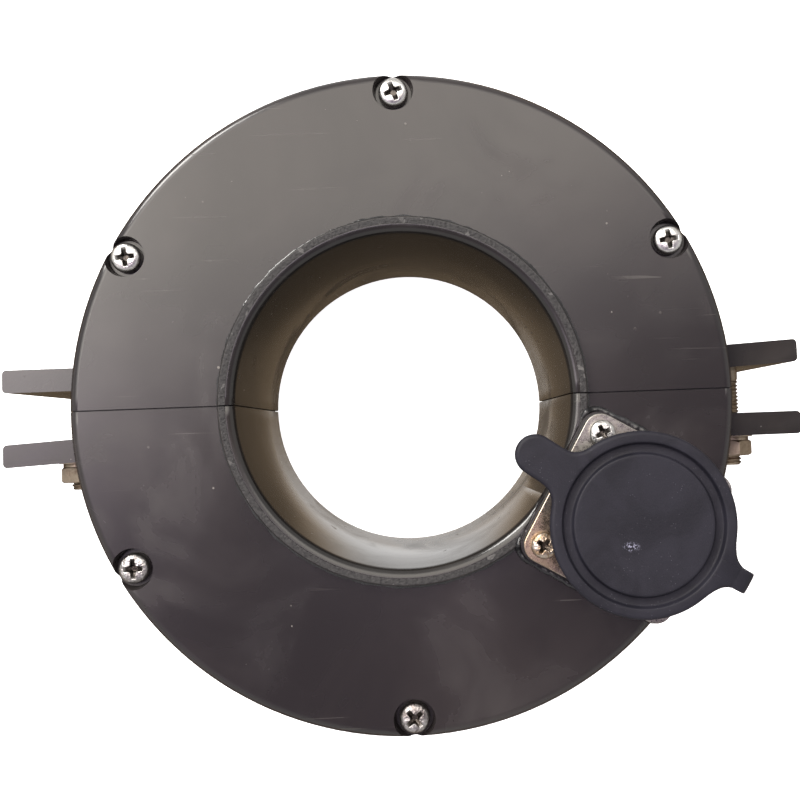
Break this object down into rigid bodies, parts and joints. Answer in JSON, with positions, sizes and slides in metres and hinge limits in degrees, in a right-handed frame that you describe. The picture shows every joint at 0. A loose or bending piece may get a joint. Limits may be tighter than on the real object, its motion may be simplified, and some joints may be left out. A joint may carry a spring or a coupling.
{
  "type": "split-core ring current transformer",
  "caption": "Split ring current transformer: two half-ring housings clamped by bolted ears, round window with a raised collar, flanged connector under a tethered dust cap.",
  "frame": {"origin": "centre of the round window, on the plane of the flat back face", "axes": "+Z along the window's axis towards the face with the connector; +Y square to the split plane towards the half without the connector; +X along the split plane"},
  "size_m": [0.244, 0.2, 0.105],
  "materials": {
    "case_black": "moulded gloss black",
    "cover_black": "moulded gloss black",
    "seal_black": "cut sheet rubber",
    "core_steel": "wound silicon steel, cut faces",
    "tape_cream": "polyester tape",
    "winding_copper": "enamelled copper wire",
    "potting_black": "cast resin",
    "brass": "turned brass",
    "screw_zinc": "bright nickel plated",
    "bolt_zinc": "dull yellow zinc plated",
    "sealant_black": "glossy sealant",
    "nickel_shell": "nickel plated die casting",
    "insulator_black": "moulded insulator",
    "lead_red": "silicone sleeved lead",
    "cap_rubber": "moulded blue-black rubber"
  },
  "bodies": {
    "housing": {"lower_case": "case_black", "upper_case": "case_black", "lower_cover": "cover_black", "upper_cover": "cover_black", "split_gaskets": "seal_black", "lower_core": "core_steel", "upper_core": "core_steel", "lower_core_tape": "tape_cream", "upper_core_tape": "tape_cream", "secondary_winding": "winding_copper", "winding_tape": "tape_cream", "lower_potting": "potting_black", "upper_potting": "potting_black", "screw_inserts": "brass", "cover_screws": "screw_zinc", "clamp_bolts": "bolt_zinc", "plain_washers": "bolt_zinc", "spring_washers": "bolt_zinc", "clamp_nuts": "bolt_zinc", "collar_sealant": "sealant_black", "connector_gasket": "seal_black", "connector_shell": "nickel_shell", "connector_insulator": "insulator_black", "insulator_ring": "nickel_shell", "connector_contacts": "brass", "connector_screws": "screw_zinc", "secondary_leads": "lead_red", "strap_ring": "cap_rubber", "cap_strap": "cap_rubber"},
    "cap": {"dust_cap": "cap_rubber"}
  },
  "joints": [
    {"name": "cap_pull", "type": "slide", "parent": "housing", "child": "cap", "axis": [0, 0, 1], "range_m": [0, 0.016], "deforming": ["cap_strap"]}
  ]
}
